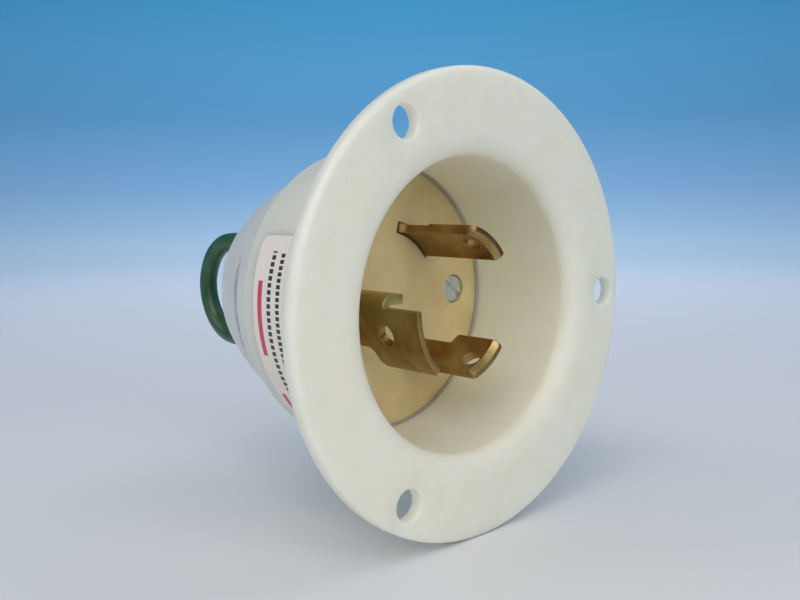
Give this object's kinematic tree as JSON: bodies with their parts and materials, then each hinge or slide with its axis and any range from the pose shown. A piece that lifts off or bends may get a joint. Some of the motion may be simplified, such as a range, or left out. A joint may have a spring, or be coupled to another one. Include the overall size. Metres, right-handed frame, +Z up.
{
  "type": "flanged power inlet",
  "caption": "Round flange-mounted power inlet: deep nylon recess with curved locking blades, tapered rear cover, wire clamps and a looped green bonding wire.",
  "frame": {"origin": "centre of the flange's rear face, the plane that seats on the panel", "axes": "-Y out of the recess towards the person who plugs in, +Y back into the box, +Z up, one screw hole on +X"},
  "size_m": [0.071, 0.0611, 0.071],
  "materials": {
    "nylon": "natural milky nylon, satin, slightly translucent",
    "carrier_nylon": "natural nylon, satin",
    "blade_brass": "stamped brass, tarnished, worn bright along its edges",
    "nut_brass": "machined brass",
    "screw_brass": "machined brass, satin",
    "zinc_steel": "bright zinc plate, slightly blue",
    "nickel": "nickel plate, satin",
    "ground_green": "green dyed steel",
    "copper": "bare copper",
    "wire_green": "glossy dark green insulation",
    "label_paper": "cream film label with plain bars, no wording"
  },
  "bodies": {
    "root": {"flange_housing": "nylon", "blade_carrier": "carrier_nylon", "terminal_body": "carrier_nylon", "rear_cover": "nylon", "blade_line": "blade_brass", "blade_neutral": "blade_brass", "blade_ground": "blade_brass", "square_nut_right": "nut_brass", "square_nut_left": "nut_brass", "ground_strap": "zinc_steel", "ring_lug": "nickel", "strap_rivet": "zinc_steel", "bonding_wire": "wire_green", "wire_end_at_lug": "copper", "wire_end_at_clamp": "copper", "notice_label": "label_paper"},
    "clamp_line": {"clamp_plate_line": "nickel"},
    "screw_line": {"clamp_screw_line": "screw_brass"},
    "clamp_neutral": {"clamp_plate_neutral": "nickel"},
    "screw_neutral": {"clamp_screw_neutral": "nickel"},
    "clamp_ground": {"clamp_plate_ground": "nickel"},
    "screw_ground": {"clamp_screw_ground": "ground_green"},
    "washer_right": {"lock_washer_right": "zinc_steel"},
    "fixing_screw_right": {"assembly_screw_right": "zinc_steel"},
    "washer_left": {"lock_washer_left": "zinc_steel"},
    "fixing_screw_left": {"assembly_screw_left": "zinc_steel"}
  },
  "joints": [
    {"name": "line_clamp_slide", "type": "slide", "parent": "root", "child": "clamp_line", "axis": [0.6018, 0, 0.7986], "range_m": [-0.00198, 0.00159]},
    {"name": "line_screw_turn", "type": "hinge", "parent": "clamp_line", "child": "screw_line", "pos_m": [0.01023, 0.0278, 0.01358], "axis": [0.6018, 0, 0.7986], "range_deg": [-900, 720]},
    {"name": "neutral_clamp_slide", "type": "slide", "parent": "root", "child": "clamp_neutral", "axis": [0.5, 0, -0.866], "range_m": [-0.00198, 0.00159]},
    {"name": "neutral_screw_turn", "type": "hinge", "parent": "clamp_neutral", "child": "screw_neutral", "pos_m": [0.0085, 0.0278, -0.01472], "axis": [0.5, 0, -0.866], "range_deg": [-900, 720]},
    {"name": "ground_clamp_slide", "type": "slide", "parent": "root", "child": "clamp_ground", "axis": [-0.891, 0, -0.454], "range_m": [0, 0.00159]},
    {"name": "ground_screw_turn", "type": "hinge", "parent": "clamp_ground", "child": "screw_ground", "pos_m": [-0.01515, 0.0278, -0.00772], "axis": [-0.891, 0, -0.454], "range_deg": [0, 720]},
    {"name": "right_washer_slide", "type": "slide", "parent": "root", "child": "washer_right", "axis": [0, -1, 0], "range_m": [0, 0.00198]},
    {"name": "right_screw_turn", "type": "hinge", "parent": "washer_right", "child": "fixing_screw_right", "pos_m": [0.0162, 0.02, 0], "axis": [0, -1, 0], "range_deg": [0, 900]},
    {"name": "left_washer_slide", "type": "slide", "parent": "root", "child": "washer_left", "axis": [0, -1, 0], "range_m": [0, 0.00198]},
    {"name": "left_screw_turn", "type": "hinge", "parent": "washer_left", "child": "fixing_screw_left", "pos_m": [-0.0162, 0.02, 0], "axis": [0, -1, 0], "range_deg": [0, 900]}
  ],
  "couplings": [
    {"joint": "line_screw_turn", "follows": "line_clamp_slide", "rad_per_m": 7913.3},
    {"joint": "neutral_screw_turn", "follows": "neutral_clamp_slide", "rad_per_m": 7913.3},
    {"joint": "ground_screw_turn", "follows": "ground_clamp_slide", "rad_per_m": 7913.3},
    {"joint": "right_screw_turn", "follows": "right_washer_slide", "rad_per_m": 7913.3},
    {"joint": "left_screw_turn", "follows": "left_washer_slide", "rad_per_m": 7913.3}
  ]
}
